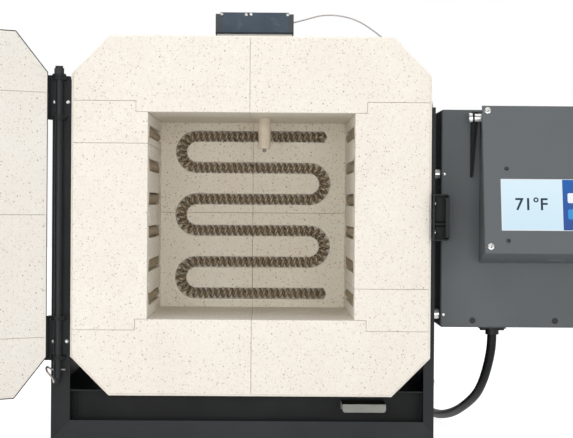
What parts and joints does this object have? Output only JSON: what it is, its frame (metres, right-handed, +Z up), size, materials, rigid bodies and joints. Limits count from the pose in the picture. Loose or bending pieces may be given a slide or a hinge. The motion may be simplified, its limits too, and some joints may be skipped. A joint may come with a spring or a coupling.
{
  "type": "heat treating oven",
  "caption": "Bench heat treating oven with a firebrick chamber, side-hinged brick door, steel frame, tilting touch-screen control head and mains cord.",
  "frame": {"origin": "on the floor plane, at the middle of the front left foot's sole", "axes": "+Z up, -Y out of the chamber's mouth, +X towards the control cabinet"},
  "size_m": [1.1547, 0.9211, 0.5457],
  "materials": {
    "firebrick": "matte",
    "fibre": "matte",
    "element_wire": "satin",
    "black_powder_coat": "satin",
    "grey_powder_coat": "satin",
    "slate_powder_coat": "satin",
    "zinc": "satin",
    "bare_steel": "satin",
    "porcelain": "satin",
    "thermocouple_ceramic": "matte",
    "screen": "gloss",
    "black_plastic": "matte",
    "rubber": "matte",
    "cord_jacket": "satin"
  },
  "bodies": {
    "body": {"roof_bricks": "firebrick", "floor_bricks": "firebrick", "left_wall_bricks": "firebrick", "right_wall_bricks": "firebrick", "back_wall_bricks": "firebrick", "back_element": "element_wire", "left_element": "element_wire", "right_element": "element_wire", "fibre_band": "fibre", "casing_wrap": "black_powder_coat", "casing_rear_panel": "black_powder_coat", "terminal_bushings": "porcelain", "terminal_cover": "black_powder_coat", "casing_screws": "zinc", "left_side_panel": "black_powder_coat", "right_side_panel": "black_powder_coat", "base_tray": "black_powder_coat", "front_cross_rail": "black_powder_coat", "rear_cross_rail": "black_powder_coat", "cradle_rails": "black_powder_coat", "cradle_legs": "black_powder_coat", "lower_bracket": "bare_steel", "rubber_feet": "rubber", "thermocouple_tube": "thermocouple_ceramic", "thermocouple_pad": "fibre", "thermocouple_block": "porcelain", "thermocouple_sensor": "bare_steel", "thermocouple_box": "slate_powder_coat", "thermocouple_wire": "cord_jacket", "hinge_rod": "bare_steel", "hinge_nut": "zinc", "hinge_hitch_pin": "bare_steel", "frame_hinge_brackets": "black_powder_coat", "latch_keeper": "black_powder_coat", "strike_pin": "zinc", "cabinet_shell": "grey_powder_coat", "cabinet_rear_cover": "grey_powder_coat", "cabinet_spacers": "zinc", "cabinet_hole_plugs": "black_plastic", "frame_bolts": "zinc", "small_screws": "zinc", "head_ears": "black_powder_coat", "cord_clamp": "black_plastic", "power_cord": "cord_jacket", "power_cord_coil": "cord_jacket", "power_cord_tail": "cord_jacket", "power_plug": "black_plastic"},
    "door": {"door_shell": "black_powder_coat", "door_bricks": "firebrick", "door_blanket": "fibre", "door_hinge_brackets": "black_powder_coat", "door_screws": "zinc", "latch_pivot": "zinc"},
    "latch": {"latch_hook": "black_powder_coat", "latch_grip": "black_plastic"},
    "head": {"head_box": "black_powder_coat", "head_panel": "slate_powder_coat", "display_glass": "screen", "head_screws": "zinc", "head_pivot_screws": "zinc"}
  },
  "joints": [
    {"name": "door_hinge", "type": "hinge", "parent": "body", "child": "door", "pos_m": [-0.0207, -0.046, 0.284], "axis": [0, 0, -1], "range_deg": [-138, 22]},
    {"name": "latch_swing", "type": "hinge", "parent": "door", "child": "latch", "pos_m": [-0.39756, -0.32343, 0.284], "axis": [-0.7431, -0.6691, 0], "range_deg": [-14, 8]},
    {"name": "head_tilt", "type": "hinge", "parent": "body", "child": "head", "pos_m": [0.569, -0.034, 0.4065], "axis": [-1, 0, 0], "range_deg": [0, 35]}
  ]
}
